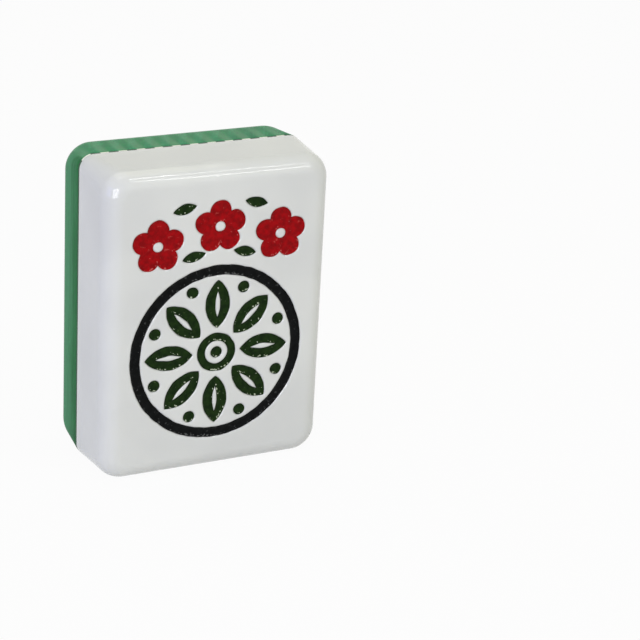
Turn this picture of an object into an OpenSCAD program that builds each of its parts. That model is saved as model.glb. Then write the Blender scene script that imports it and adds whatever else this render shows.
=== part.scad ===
// A mahjong tile: a white engraved block, glued through a striped cloth to a clear back cap.
// The tile stands on its short edge with its face towards -Y, and the origin is under its middle.

/* [Tile] */
// Width of the tile
tile_w = 22.3; // [21:0.1:28]
// Height of the tile as it stands
tile_h = 30; // [29.5:0.5:40]
// Radius of the four corners at the joint, where they are tightest
joint_corner_r = 1.4; // [0.6:0.1:2.2]
// Radius of the block's corners where its rounded edge starts
face_corner_r = 2.4; // [2.3:0.1:4]
// Radius of the cap's corners where its rounded edge starts
back_corner_r = 2.7; // [2.7:0.1:4]

/* [Layers] */
// Thickness of the white face block
block_t = 6.75; // [4:0.05:10]
// Thickness of the glue film on each side of the cloth
film_t = 0.05; // [0.03:0.01:0.3]
// Thickness of the striped cloth
cloth_t = 0.25; // [0.1:0.01:0.4]
// Thickness of the clear back cap
cap_t = 5.3; // [3.5:0.1:9]
// Radius of the rounded edge round the face
face_edge_r = 1.7; // [1:0.1:2.6]
// Radius of the rounded edge round the back
back_edge_r = 2.5; // [1:0.1:3]
// Least flat left beside a rounded edge
edge_land = 0.15; // [0.1:0.05:0.5]

/* [Engraving] */
// Depth of the engraved grooves
groove_depth = 0.6; // [0.3:0.05:1.5]
// How far the paint lies below the face
paint_sink = 0.12; // [0.05:0.01:0.25]
// White margin between the engraving and the rounded edges at the sides
side_margin = 0.85; // [0.2:0.05:1.2]
// White margin between the ring and the rounded edge at the base
base_margin = 1.6; // [0.2:0.05:2]
// White margin between the garland and the rounded edge at the top
top_margin = 1.55; // [0.2:0.05:1.8]

/* [Ring and rosette] */
// Stroke of the black ring
ring_stroke = 0.95; // [0.6:0.05:1.6]
// White gap between the petals' ends and the rings
petal_gap = 0.5; // [0.3:0.05:0.8]
// White gap between the dots and the black ring
dot_gap = 0.4; // [0.2:0.05:0.8]
// Number of petals in the rosette
petal_count = 8; // [6:1:10]
// Width of a petal at its widest
petal_w = 2.4; // [1.6:0.1:2.8]
// White from each end of a petal to its vein
vein_inset = 1.05; // [0.8:0.05:1.2]
// Width of the white vein in a petal
vein_w = 0.5; // [0.3:0.05:0.8]
// Radius of a dot between two petals
dot_r = 0.55; // [0.3:0.05:0.7]
// Outer radius of the ring round the heart
heart_ring_r = 1.9; // [1.7:0.05:2.2]
// Stroke of the ring round the heart
heart_stroke = 0.75; // [0.4:0.05:0.8]
// Radius of the heart's dot
heart_dot_r = 0.55; // [0.3:0.05:0.7]

/* [Garland] */
// White gap between neighbouring blossoms along the row
blossom_gap = 1; // [0.6:0.05:1.6]
// How much the round lobes of a blossom overlap
lobe_overlap = 0.3; // [0.2:0.05:0.6]
// Radius of the white boss in the middle of a blossom
boss_r = 0.5; // [0.3:0.05:0.7]
// How much lower the outer blossoms sit than the middle one
garland_drop = 1.3; // [0.5:0.1:1.8]
// Least white gap between the middle blossom and the ring
garland_gap = 1.2; // [0.8:0.05:2]
// Length of a leaf
leaf_len = 2.3; // [1.4:0.1:2.6]
// Width of a leaf
leaf_w = 0.95; // [0.5:0.05:1.2]
// How far a leaf is tucked in from the blossoms' outer line
leaf_tuck = 0.15; // [0:0.05:0.3]

/* [Hidden] */
$fn = 64;

// Counts that the garland's layout fixes
blossom_count = 3;
lobe_count = 5;
leaf_count = 2 * (blossom_count - 1);

// Places of the layers along Y, from the face to the back
tile_d = block_t + film_t + cloth_t + film_t + cap_t;
face_y = -tile_d / 2;
block_back_y = face_y + block_t;
cloth_front_y = block_back_y + film_t;
cloth_back_y = cloth_front_y + cloth_t;
cap_front_y = cloth_back_y + film_t;

// Rounded edges, limited by the layer that they are cut in, and corners that have room for them
face_r = min(face_edge_r, block_t - groove_depth);
back_r = min(back_edge_r, cap_t - edge_land);
face_c = max(face_corner_r, face_r + edge_land);
back_c = max(back_corner_r, back_r + edge_land);

// Corners spread this far past the joint's tighter outline, which cuts them
spread_over = 0.05;

// The flat part of the face and the garland at its top
art_half_w = tile_w / 2 - face_r - side_margin;
art_base_z = face_r + base_margin;
art_top_z = tile_h - face_r - top_margin;
blossom_r = (2 * art_half_w - (blossom_count - 1) * blossom_gap) / (2 * blossom_count);
lobe_step = 360 / lobe_count;
lobe_sin = sin(lobe_step / 2);
lobe_r = (blossom_r * lobe_sin + lobe_overlap / 2) / (1 + lobe_sin);
lobe_orbit_r = blossom_r - lobe_r;
garland_half_w = art_half_w - blossom_r;
garland_top_z = art_top_z - blossom_r;
leaf_offset = blossom_r - leaf_tuck;

// The ring fills the room under the garland, across or upwards, whichever is less
ring_room_h = art_top_z - 2 * blossom_r - garland_gap - art_base_z;
ring_r = min(art_half_w, ring_room_h / 2);
ring_z = art_base_z + ring_r;
petal_root_r = heart_ring_r + petal_gap;
petal_tip_r = ring_r - ring_stroke - petal_gap;
petal_len = petal_tip_r - petal_root_r;
petal_mid_r = (petal_root_r + petal_tip_r) / 2;
vein_len = petal_len - 2 * vein_inset;
dot_orbit_r = ring_r - ring_stroke - dot_gap - dot_r;
petal_step = 360 / petal_count;

// Cutters reach this far out of the face
cut_over = 0.5;

// Colours, as red, green and blue
white = [0.84, 0.84, 0.82];
clear = [0.70, 0.85, 0.76, 0.35];
cloth_green = [0.35, 0.66, 0.45];
glue_tan = [0.80, 0.74, 0.56];
black_enamel = [0.06, 0.08, 0.08];
green_enamel = [0.10, 0.20, 0.08];
red_enamel = [0.64, 0.03, 0.06];

// How far a corner of radius c spreads along its diagonal, from the rounded edge to the joint
function corner_spread(c) = (c - joint_corner_r) * (sqrt(2) - 1) + spread_over;

// The garland's line is a parabola: t runs from -1 at the left blossom to 1 at the right one
function garland_x(t) = garland_half_w * t;
function garland_z(t) = garland_top_z - garland_drop * t * t;
function garland_slope(t) = atan2(-2 * garland_drop * t, garland_half_w);
function blossom_t(i) = 2 * (i - 1) / (blossom_count - 1) - 1;
function leaf_gap(i) = floor((i - 1) / 2);
function leaf_t(i) = (blossom_t(leaf_gap(i) + 1) + blossom_t(leaf_gap(i) + 2)) / 2;
function leaf_side(i) = i % 2 == 0 ? 1 : -1;

// Section of a plate's rim, from the axis of its corner of radius c outwards, with its outer edge rounded
module rim_section(t, r, c) {
    intersection() {
        square([c, t]);
        union() {
            square([c - r, t]);
            square([c, t - r]);
            translate([c - r, t - r]) circle(r);
        }
    }
}

// Section of a corner, the same but spreading from its rounded edge towards the joint
module corner_section(t, r, c) {
    rim_section(t, r, c);
    polygon([[0, 0], [c + corner_spread(c), 0], [c, t - r], [0, t - r]]);
}

// Outline of a corner at the joint, from the corner's axis outwards
module corner_outline(c) {
    straight = c - joint_corner_r;
    square([c, straight]);
    square([straight, c]);
    intersection() {
        square(c);
        translate([straight, straight]) circle(joint_corner_r);
    }
}

// Corner of a plate: it spreads towards the joint as far as the outline there lets it
module plate_corner(t, r, c) {
    intersection() {
        rotate_extrude(angle = 90) corner_section(t, r, c);
        linear_extrude(t) corner_outline(c);
    }
}

// Section across the plate's middle, rounded at both ends
module long_section(t, r, c) {
    straight = tile_h - 2 * c;
    translate([straight / 2, 0]) rim_section(t, r, c);
    mirror([1, 0]) translate([straight / 2, 0]) rim_section(t, r, c);
    translate([-straight / 2, 0]) square([straight, t]);
}

// Plate with the tile's outline: flat at its joint side, rounded round its outer side.
// It is laid out on the ground, joint side down, from blocks that share whole flat faces.
module ground_plate(t, r, c) {
    side_x = tile_w / 2 - c;
    side_y = tile_h / 2 - c;
    rotate([90, 0, 90]) translate([0, 0, -side_x]) linear_extrude(2 * side_x) long_section(t, r, c);
    for (side = [0, 1]) mirror([side, 0, 0]) {
        translate([side_x, side_y, 0]) rotate([90, 0, 0]) linear_extrude(2 * side_y) rim_section(t, r, c);
        for (end = [0, 1]) mirror([0, end, 0]) translate([side_x, side_y, 0]) plate_corner(t, r, c);
    }
}

// Flat layer with square edges from y to y + t
module flat_layer(y, t) {
    translate([0, y + t, 0]) rotate([90, 0, 0]) linear_extrude(t) tile_outline();
}

// The tile's outline at the joint, seen from the front and standing on the ground line
module tile_outline() {
    r = joint_corner_r;
    side_x = tile_w / 2 - r;
    translate([-side_x, 0]) square([2 * side_x, tile_h]);
    for (side = [0, 1]) mirror([side, 0]) {
        translate([side_x, r]) square([r, tile_h - 2 * r]);
        for (z = [r, tile_h - r]) translate([side_x, z]) circle(r);
    }
}

// Pointed leaf outline along X, from two arcs
module leaf_outline(len, w) {
    arc_r = (len * len + w * w) / (4 * w);
    intersection() {
        translate([0, arc_r - w / 2]) circle(arc_r);
        translate([0, w / 2 - arc_r]) circle(arc_r);
    }
}

// Moves an outline to the rosette's petal direction number i, counted from the top, and turned on by turn
module at_petal(i, turn = 0) {
    translate([0, ring_z]) rotate(90 - (i - 1) * petal_step - turn) children();
}

module ring_outline() {
    translate([0, ring_z]) difference() {
        circle(ring_r);
        circle(ring_r - ring_stroke);
    }
}

module heart_ring_outline() {
    translate([0, ring_z]) difference() {
        circle(heart_ring_r);
        circle(heart_ring_r - heart_stroke);
    }
}

module heart_dot_outline() {
    translate([0, ring_z]) circle(heart_dot_r);
}

module petal_outline(i) {
    at_petal(i) translate([petal_mid_r, 0]) difference() {
        leaf_outline(petal_len, petal_w);
        leaf_outline(vein_len, vein_w);
    }
}

module dot_outline(i) {
    at_petal(i, petal_step / 2) translate([dot_orbit_r, 0]) circle(dot_r);
}

module blossom_outline(i) {
    t = blossom_t(i);
    translate([garland_x(t), garland_z(t)]) difference() {
        union() {
            circle(lobe_orbit_r);
            for (lobe = [1 : lobe_count]) rotate(90 + lobe * lobe_step)
                translate([lobe_orbit_r, 0]) circle(lobe_r);
        }
        circle(boss_r);
    }
}

module leaf_place_outline(i) {
    t = leaf_t(i);
    translate([garland_x(t), garland_z(t)]) rotate(garland_slope(t))
        translate([0, leaf_side(i) * leaf_offset]) leaf_outline(leaf_len, leaf_w);
}

// Groove cutter: an outline on the face, cut in to the groove's depth
module groove() {
    translate([0, face_y + groove_depth, 0]) rotate([90, 0, 0])
        linear_extrude(groove_depth + cut_over) children();
}

// Pool of paint: the same outline, from the groove's floor to just under the face
module paint() {
    translate([0, face_y + groove_depth, 0]) rotate([90, 0, 0])
        linear_extrude(groove_depth - paint_sink) children();
}

module face_block() {
    color(white) difference() {
        translate([0, block_back_y, tile_h / 2]) rotate([90, 0, 0]) ground_plate(block_t, face_r, face_c);
        groove() ring_outline();
        groove() heart_ring_outline();
        groove() heart_dot_outline();
        for (i = [1 : petal_count]) groove() petal_outline(i);
        for (i = [1 : petal_count]) groove() dot_outline(i);
        for (i = [1 : blossom_count]) groove() blossom_outline(i);
        for (i = [1 : leaf_count]) groove() leaf_place_outline(i);
    }
}

module front_glue_film() {
    color(glue_tan) flat_layer(block_back_y, film_t);
}

module striped_cloth() {
    color(cloth_green) flat_layer(cloth_front_y, cloth_t);
}

module rear_glue_film() {
    color(glue_tan) flat_layer(cloth_back_y, film_t);
}

module clear_back_cap() {
    color(clear) translate([0, cap_front_y, tile_h / 2]) rotate([-90, 0, 0])
        ground_plate(cap_t, back_r, back_c);
}

module black_ring_paint() {
    color(black_enamel) paint() ring_outline();
}

module heart_ring_paint() {
    color(green_enamel) paint() heart_ring_outline();
}

module heart_dot_paint() {
    color(green_enamel) paint() heart_dot_outline();
}

module green_petal(i) {
    color(green_enamel) paint() petal_outline(i);
}

module green_dot(i) {
    color(green_enamel) paint() dot_outline(i);
}

module red_blossom(i) {
    color(red_enamel) paint() blossom_outline(i);
}

module green_leaf(i) {
    color(green_enamel) paint() leaf_place_outline(i);
}

face_block();
front_glue_film();
striped_cloth();
rear_glue_film();
clear_back_cap();
black_ring_paint();
heart_ring_paint();
heart_dot_paint();
for (i = [1 : petal_count]) green_petal(i);
for (i = [1 : petal_count]) green_dot(i);
for (i = [1 : blossom_count]) red_blossom(i);
for (i = [1 : leaf_count]) green_leaf(i);
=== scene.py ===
"""The looks of a mahjong tile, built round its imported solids.

The tile is a laminate: a white engraved block, a film of glue, a striped cloth and a clear cap. Enamel
fills the engraving. Every length is in millimetres unless its name says otherwise, and meshes are written
in metres.
"""

import logging
import math
from dataclasses import dataclass, field
from enum import Enum
from typing import Callable

import bpy
import numpy as np
from mathutils import Matrix, Quaternion, Vector


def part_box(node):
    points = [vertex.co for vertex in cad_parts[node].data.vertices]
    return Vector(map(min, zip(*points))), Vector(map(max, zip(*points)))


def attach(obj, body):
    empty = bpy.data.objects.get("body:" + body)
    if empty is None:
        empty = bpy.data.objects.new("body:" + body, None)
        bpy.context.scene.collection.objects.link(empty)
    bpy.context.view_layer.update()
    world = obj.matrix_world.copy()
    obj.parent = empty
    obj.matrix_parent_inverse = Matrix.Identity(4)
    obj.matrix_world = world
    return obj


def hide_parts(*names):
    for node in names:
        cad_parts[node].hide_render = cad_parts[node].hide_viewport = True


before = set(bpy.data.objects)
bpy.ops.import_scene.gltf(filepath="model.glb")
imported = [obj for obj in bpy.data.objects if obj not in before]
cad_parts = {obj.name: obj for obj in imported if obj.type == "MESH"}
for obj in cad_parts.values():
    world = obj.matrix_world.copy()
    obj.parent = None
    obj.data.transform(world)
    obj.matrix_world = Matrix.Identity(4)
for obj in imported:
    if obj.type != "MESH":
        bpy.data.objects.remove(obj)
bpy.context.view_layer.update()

MM = 0.001
LOG = logging.getLogger("tile")
WHITE = (1.0, 1.0, 1.0, 1.0)
EVEN = (1.0, 1.0, 1.0)

Array = np.ndarray
Relief = Callable[[Array, Array], Array]
Rgb = tuple[float, float, float]
Place = tuple[float, float, float]


class Side(Enum):
    """The outer side of a plate, by the sign of Y in which depth below it is counted."""

    FRONT = 1
    BACK = -1


class Enamel(Enum):
    """The enamels, by the name that each one's finish takes."""

    BLACK = "black_enamel"
    GREEN = "green_enamel"
    RED = "red_enamel"


def node_box(node: str) -> tuple[list[float], list[float]]:
    """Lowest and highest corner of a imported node, in millimetres."""
    low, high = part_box(node)
    return [c / MM for c in low], [c / MM for c in high]


def linear(colour: Rgb) -> tuple[float, float, float, float]:
    """Turns a display colour into the linear colour that a shader socket takes.

    The display's curve is undone: c / 12.92 for the darkest shades, else ((c + 0.055) / 1.055)^2.4.

    Args:
        colour: Red, green and blue from 0 to 255, as a screen shows them.

    Returns:
        Linear red, green and blue with an alpha of 1.
    """
    share = np.array(colour) / 255
    curve = np.where(share <= 0.04045, share / 12.92, ((share + 0.055) / 1.055) ** 2.4)
    return (*curve.tolist(), 1.0)


def smooth_step(low: float, high: float, value: Array) -> Array:
    """An S-curve from 0 at low to 1 at high, level at both ends: 3 t^2 - 2 t^3."""
    t = np.clip((value - low) / (high - low), 0, 1)
    return t * t * (3 - 2 * t)


def sight(place: Place, aim: Place) -> Quaternion:
    """The turn that makes a lamp or a camera look from its place at its aim."""
    return (Vector(aim) - Vector(place)).normalized().to_track_quat("-Z", "Y")


def add_object(name: str, data: bpy.types.ID) -> bpy.types.Object:
    """Puts a new object into the scene.

    Args:
        name: Name of the object.
        data: Its mesh, light or camera.

    Returns:
        The object.
    """
    made = bpy.data.objects.new(name, data)
    bpy.context.scene.collection.objects.link(made)
    return made


@dataclass(frozen=True)
class Ripple:
    """Smooth unevenness of a surface: a sum of plane waves in random directions, between about -1 and 1."""

    wavelength: float
    seed: int
    waves: int = 12
    shortest: float = 0.65
    longest: float = 1.5

    def at(self, x: Array, z: Array) -> Array:
        """Height of the ripple.

        Args:
            x: Places across the tile.
            z: Places up the tile.

        Returns:
            The mean of the waves' sines, spread so that it fills about -1 to 1.
        """
        draw = np.random.default_rng(self.seed)
        turn = draw.uniform(0, 2 * math.pi, self.waves)
        start = draw.uniform(0, 2 * math.pi, self.waves)
        length = self.wavelength * draw.uniform(self.shortest, self.longest, self.waves)
        total = np.zeros_like(x)
        for angle, phase, span in zip(turn, start, length):
            along = x * math.cos(angle) + z * math.sin(angle)
            total = total + np.sin(2 * math.pi * along / span + phase)
        return total / math.sqrt(2 * self.waves)


@dataclass(frozen=True)
class Surface:
    """A closed surface: its vertices in millimetres, its quads and its many-sided closing faces.

    The marks are values for the finish to read, by attribute name, one per vertex.
    """

    points: Array
    quads: Array
    caps: list[Array]
    marks: dict[str, Array] = field(default_factory=dict)


def grid_quads(index: Array, flip: bool = False) -> Array:
    """Quads between the neighbouring rows and columns of a grid of vertex numbers.

    Args:
        index: Vertex numbers in rows and columns.
        flip: Whether the quads are turned over.

    Returns:
        One row of four vertex numbers per quad.
    """
    corners = [index[:-1, :-1], index[:-1, 1:], index[1:, 1:], index[1:, :-1]]
    quads = np.stack(corners, axis=-1).reshape(-1, 4)
    return quads[:, ::-1] if flip else quads


def closed_rows(index: Array) -> Array:
    """Rows of vertex numbers that run once round and end where they began."""
    return np.concatenate([index, index[:, :1]], axis=1)


def write_piece(name: str, surface: Surface, material: bpy.types.Material, slot: str,
                *replaces: str) -> bpy.types.Object:
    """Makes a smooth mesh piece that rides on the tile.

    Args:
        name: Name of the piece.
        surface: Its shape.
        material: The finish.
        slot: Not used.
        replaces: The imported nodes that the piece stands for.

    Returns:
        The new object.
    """
    quads, caps = surface.quads, surface.caps
    loops = np.concatenate([quads.ravel(), *caps]).astype(np.int32)
    totals = np.concatenate([np.full(len(quads), 4), [len(cap) for cap in caps]]).astype(np.int32)
    starts = np.concatenate([[0], np.cumsum(totals)[:-1]]).astype(np.int32)
    mesh = bpy.data.meshes.new(name)
    mesh.vertices.add(len(surface.points))
    mesh.vertices.foreach_set("co", (surface.points * MM).astype(np.float32).ravel())
    mesh.loops.add(len(loops))
    mesh.loops.foreach_set("vertex_index", loops)
    mesh.polygons.add(len(starts))
    mesh.polygons.foreach_set("loop_start", starts)
    mesh.update(calc_edges=True)
    mesh.shade_smooth()
    for mark, values in surface.marks.items():
        carried = mesh.attributes.new(mark, "FLOAT", "POINT")
        carried.data.foreach_set("value", values.astype(np.float32).ravel())
    mesh.materials.append(material)
    piece = add_object(name, mesh)
    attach(piece, "root")
    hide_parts(*replaces)
    return piece


class Socket:
    """One output of a shader node. Arithmetic on it adds Math nodes to the same recipe."""

    def __init__(self, recipe: "Recipe", output: bpy.types.NodeSocket) -> None:
        """Wraps an output of a node in a recipe."""
        self.recipe = recipe
        self.output = output

    def __add__(self, other: "Socket | float") -> "Socket":
        """This plus other."""
        return self.recipe.math("ADD", self, other)

    def __sub__(self, other: "Socket | float") -> "Socket":
        """This minus other."""
        return self.recipe.math("SUBTRACT", self, other)

    def __rsub__(self, other: float) -> "Socket":
        """Other minus this."""
        return self.recipe.math("SUBTRACT", other, self)

    def __mul__(self, other: "Socket | float") -> "Socket":
        """This times other."""
        return self.recipe.math("MULTIPLY", self, other)

    def __truediv__(self, other: "Socket | float") -> "Socket":
        """This over other."""
        return self.recipe.math("DIVIDE", self, other)

    __radd__ = __add__
    __rmul__ = __mul__

    def whole(self) -> "Socket":
        """The whole number at or below this value."""
        return self.recipe.math("FLOOR", self)

    def part(self) -> "Socket":
        """What is left above the whole number."""
        return self.recipe.math("FRACT", self)

    def size(self) -> "Socket":
        """The value without its sign."""
        return self.recipe.math("ABSOLUTE", self)

    def root(self) -> "Socket":
        """The square root of the value."""
        return self.recipe.math("SQRT", self)

    def sine(self) -> "Socket":
        """The sine of the value, in radians."""
        return self.recipe.math("SINE", self)

    def at_least(self, other: "Socket | float") -> "Socket":
        """The larger of this and other."""
        return self.recipe.math("MAXIMUM", self, other)

    def ease(self, low: float, high: float, first: float = 0.0, last: float = 1.0) -> "Socket":
        """An S-curve of the value, from first at low to last at high."""
        sockets = {"Value": self, "From Min": low, "From Max": high, "To Min": first, "To Max": last}
        return self.recipe.node("ShaderNodeMapRange", {"interpolation_type": "SMOOTHSTEP"}, sockets)


class Recipe:
    """The node tree of one finish or of the room."""

    # Numbers of the Mix node's sockets where it mixes colours, since its names repeat.
    MIX_SHARE, MIX_FIRST, MIX_LAST, MIX_RESULT = 0, 6, 7, 2

    def __init__(self, owner: bpy.types.Material | bpy.types.World) -> None:
        """Empties the owner's node tree.

        Args:
            owner: The material or the room.
        """
        owner.use_nodes = True
        self.owner = owner
        self.tree = owner.node_tree
        self.tree.nodes.clear()

    @classmethod
    def named(cls, name: str) -> "Recipe":
        """Starts a new material."""
        return cls(bpy.data.materials.new(name))

    def node(self, kind: str, settings: dict | None = None, sockets: dict | None = None,
             output: int | str = 0) -> Socket | None:
        """Adds a node.

        Args:
            kind: Blender's type name of the node.
            settings: Properties that are set before the sockets.
            sockets: Values or links by the name or number of the input.
            output: Name or number of the output that is wanted.

        Returns:
            That output, where the node has any.
        """
        made = self.tree.nodes.new(kind)
        for key, value in (settings or {}).items():
            setattr(made, key, value)
        for key, value in (sockets or {}).items():
            if isinstance(value, Socket):
                self.tree.links.new(value.output, made.inputs[key])
            else:
                made.inputs[key].default_value = value
        return Socket(self, made.outputs[output]) if made.outputs else None

    def math(self, operation: str, *values: Socket | float) -> Socket:
        """Adds a Math node on one or two values."""
        return self.node("ShaderNodeMath", {"operation": operation}, dict(enumerate(values)))

    def blend(self, share: Socket, first: Socket | Rgb, last: Socket | Rgb) -> Socket:
        """Mixes two colours.

        Args:
            share: How much of the last colour there is.
            first: Link or display colour at a share of 0.
            last: Link or display colour at a share of 1.

        Returns:
            The mixed colour.
        """
        sockets = {self.MIX_SHARE: share}
        for number, colour in ((self.MIX_FIRST, first), (self.MIX_LAST, last)):
            sockets[number] = colour if isinstance(colour, Socket) else linear(colour)
        return self.node("ShaderNodeMix", {"data_type": "RGBA"}, sockets, self.MIX_RESULT)

    def mix(self, share: Socket, first: Socket, last: Socket) -> Socket:
        """Mixes two shaders, with a share of the last one."""
        return self.node("ShaderNodeMixShader", sockets={0: share, 1: first, 2: last})

    def white_light(self, kind: str, strength: float) -> Socket:
        """A white emission or background of some strength."""
        return self.node(kind, sockets={"Color": WHITE, "Strength": strength})

    def place(self, stretch: Place = EVEN) -> Socket:
        """The place on the piece, as Object coordinates.

        Args:
            stretch: Factor along each axis.

        Returns:
            The stretched place in millimetres.
        """
        coordinates = self.node("ShaderNodeTexCoord", output="Object")
        factor = tuple(s / MM for s in stretch)
        return self.node("ShaderNodeVectorMath", {"operation": "MULTIPLY"}, {0: coordinates, 1: factor})

    def axis(self, name: str) -> Socket:
        """The place along one axis, X, Y or Z, in millimetres."""
        return self.node("ShaderNodeSeparateXYZ", sockets={0: self.place()}, output=name)

    def across(self, pitch: float, centre: float) -> Socket:
        """Place within a stripe, in pitches from its middle, from -0.5 to 0.5."""
        return ((self.axis("X") - centre) / pitch + 0.5).part() - 0.5

    def outline(self, half_w: float, height: float, corner_r: float) -> tuple[Socket, Socket]:
        """Where a place lies against the tile's rounded outline.

        It is sqrt(a^2 + b^2) - corner_r, where a and b are the distances beyond the corners' centres.

        Args:
            half_w: Half the outline's width.
            height: The outline's height.
            corner_r: Radius of its corners.

        Returns:
            How far the place lies outside it, and whether it faces a long side, as 1, or an end, as 0.
        """
        across = (self.axis("X").size() - (half_w - corner_r)).at_least(0.0)
        up = ((self.axis("Z") - height / 2).size() - (height / 2 - corner_r)).at_least(0.0)
        return (across * across + up * up).root() - corner_r, (across - up).ease(-0.5, 0.5)

    def cloud(self, size: float, detail: float = 2.0, stretch: Place = EVEN) -> Socket:
        """Random patches of a size in millimetres, from 0 to 1, drawn out along an axis stretched below 1."""
        sockets = {"Vector": self.place(stretch), "Scale": 1 / size, "Detail": detail}
        return self.node("ShaderNodeTexNoise", sockets=sockets)

    def mark(self, name: str) -> Socket:
        """A value that the piece carries on its vertices."""
        return self.node("ShaderNodeAttribute", {"attribute_name": name}, output="Fac")

    def bump(self, height: Socket, depth: float) -> Socket:
        """A normal bent by a height from 0 to 1, for a relief of some depth in millimetres."""
        sockets = {"Strength": 1.0, "Distance": depth * MM, "Height": height}
        return self.node("ShaderNodeBump", sockets=sockets)

    def seen(self) -> Socket:
        """Tells what is looked at from what only gives light.

        Returns:
            1 for what is seen straight, in a mirror or through something clear, and 0 for the rest.
        """
        kinds = ("Is Camera Ray", "Is Glossy Ray", "Is Transmission Ray")
        straight, mirrored, through = (self.node("ShaderNodeLightPath", output=kind) for kind in kinds)
        return straight.at_least(mirrored).at_least(through)

    def principled(self, **sockets: Socket | float | tuple) -> Socket:
        """A Principled shader with values or links, by the input's name with underscores for spaces."""
        named = {key.replace("_", " "): value for key, value in sockets.items()}
        return self.node("ShaderNodeBsdfPrincipled", sockets=named)

    def finish(self, surface: Socket, volume: Socket | None = None) -> bpy.types.Material:
        """Ends the recipe of a material.

        Args:
            surface: The shader of the surface.
            volume: What fills the piece, where it is clear.

        Returns:
            The finished material.
        """
        ends = {"Surface": surface}
        if volume:
            ends["Volume"] = volume
        self.node("ShaderNodeOutputMaterial", sockets=ends)
        return self.owner


@dataclass(frozen=True)
class WhitePlastic:
    """Polished white plastic that lets a little light in, with a slow drift of tone and a fine haze."""

    pale: Rgb = (217, 219, 213)
    shade: Rgb = (211, 213, 208)
    drift_w: float = 9.0
    haze_w: float = 0.35
    wipe_w: float = 0.5
    wipe_stretch: Place = (1.0, 1.0, 0.08)
    polish: float = 0.05
    dulling: float = 0.03
    mark_depth: float = 0.0005
    ior: float = 1.5
    soak: float = 0.3
    soak_depth: float = 0.7
    soak_spread: Rgb = (1.0, 0.95, 0.9)

    def material(self) -> bpy.types.Material:
        """Builds the finish.

        Returns:
            The material.
        """
        recipe = Recipe.named("white_plastic")
        drift = recipe.cloud(self.drift_w).ease(0.35, 0.65)
        haze = recipe.cloud(self.haze_w, detail=3.0)
        wipe = recipe.cloud(self.wipe_w, stretch=self.wipe_stretch)
        return recipe.finish(recipe.principled(
            Base_Color=recipe.blend(drift, self.pale, self.shade),
            Roughness=self.polish + self.dulling * haze + self.dulling * wipe,
            Normal=recipe.bump(haze + wipe, self.mark_depth),
            IOR=self.ior,
            Subsurface_Weight=self.soak,
            Subsurface_Radius=self.soak_spread,
            Subsurface_Scale=self.soak_depth * MM,
        ))


@dataclass(frozen=True)
class GlossEnamel:
    """Glossy brushed enamel: mottled on a lumpy skin, with worn patches, and painted glints: pale specks
    along its lower rim, where light from above catches the meniscus.
    """

    enamel: Enamel
    deep: Rgb
    light: Rgb
    worn: Rgb
    glint: Rgb
    wear: float
    mottle_w: float = 0.55
    patch_w: float = 0.42
    grit_w: float = 0.09
    glint_w: float = 0.2
    rim_glints: float = 0.22
    worn_share: float = 0.5
    glint_share: float = 0.8
    polish: float = 0.14
    lump_depth: float = 0.012
    ior: float = 1.5
    mirror: float = 0.08

    def material(self) -> bpy.types.Material:
        """Builds the finish.

        Returns:
            The material.
        """
        recipe = Recipe.named(self.enamel.value)
        mottle = recipe.cloud(self.mottle_w, detail=3.0)
        worn = recipe.cloud(self.patch_w, detail=4.0).ease(0.66 - self.wear, 0.74 - self.wear)
        grit = recipe.cloud(self.grit_w)
        # Painted glints: pale specks, more of them along the lower rim.
        glint_specks = recipe.cloud(self.glint_w, detail=1.0) + self.rim_glints * recipe.mark("low_rim")
        glint = glint_specks.ease(0.77, 0.84)
        colour = recipe.blend(mottle.ease(0.3, 0.7), self.deep, self.light)
        colour = recipe.blend(worn * self.worn_share, colour, self.worn)
        return recipe.finish(recipe.principled(
            Base_Color=recipe.blend(glint * self.glint_share, colour, self.glint),
            Roughness=self.polish + 0.10 * mottle + 0.25 * worn,
            Normal=recipe.bump(0.7 * mottle + 0.3 * grit, self.lump_depth),
            IOR=self.ior,
            Specular_IOR_Level=self.mirror,
        ))


ENAMELS = (
    GlossEnamel(Enamel.BLACK, deep=(1, 2, 2), light=(8, 11, 11), worn=(74, 76, 74),
                glint=(92, 94, 92), wear=0.03),
    GlossEnamel(Enamel.GREEN, deep=(9, 31, 2), light=(24, 47, 8), worn=(78, 100, 56),
                glint=(196, 206, 178), wear=0.0),
    GlossEnamel(Enamel.RED, deep=(126, 0, 5), light=(160, 2, 10), worn=(190, 76, 70),
                glint=(200, 104, 98), wear=0.02),
)


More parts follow.
